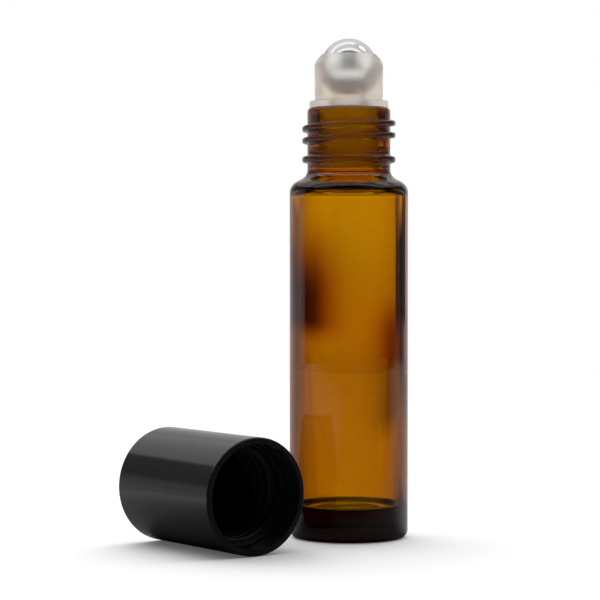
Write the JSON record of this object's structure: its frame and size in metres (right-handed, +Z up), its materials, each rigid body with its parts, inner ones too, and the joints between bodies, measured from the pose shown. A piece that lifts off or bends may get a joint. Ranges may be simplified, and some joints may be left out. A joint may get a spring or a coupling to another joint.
{
  "type": "roll-on bottle",
  "caption": "Slim cylindrical amber glass bottle with a steel roller ball in a milky housing and a black screw cap lying open beside it.",
  "frame": {"origin": "on the bottle's axis, at the plane that its foot ring stands on", "axes": "+Z up along the bottle's axis, -Y the side that the lying cap's mouth faces, -X the side on which the cap lies"},
  "size_m": [0.0465, 0.0264, 0.0842],
  "materials": {
    "amber_glass": "clear amber, fire polished",
    "milky_plastic": "natural, milky translucent",
    "polished_steel": "polished stainless steel",
    "black_gloss": "smooth gloss black",
    "black_satin": "satin black as moulded"
  },
  "bodies": {
    "glass": {"bottle": "amber_glass", "roller_housing": "milky_plastic"},
    "ball": {"roller_ball": "polished_steel"},
    "cap": {"cap_shell": "black_gloss", "cap_thread_liner": "black_satin"}
  },
  "joints": [
    {"name": "ball_roll", "type": "hinge", "parent": "glass", "child": "ball", "pos_m": [0, 0, 0.07945], "axis": [1, 0, 0], "continuous": true},
    {"name": "cap_lift", "type": "slide", "parent": "glass", "child": "cap", "axis": [0, 0, 1], "range_m": [0, 0.09]}
  ]
}
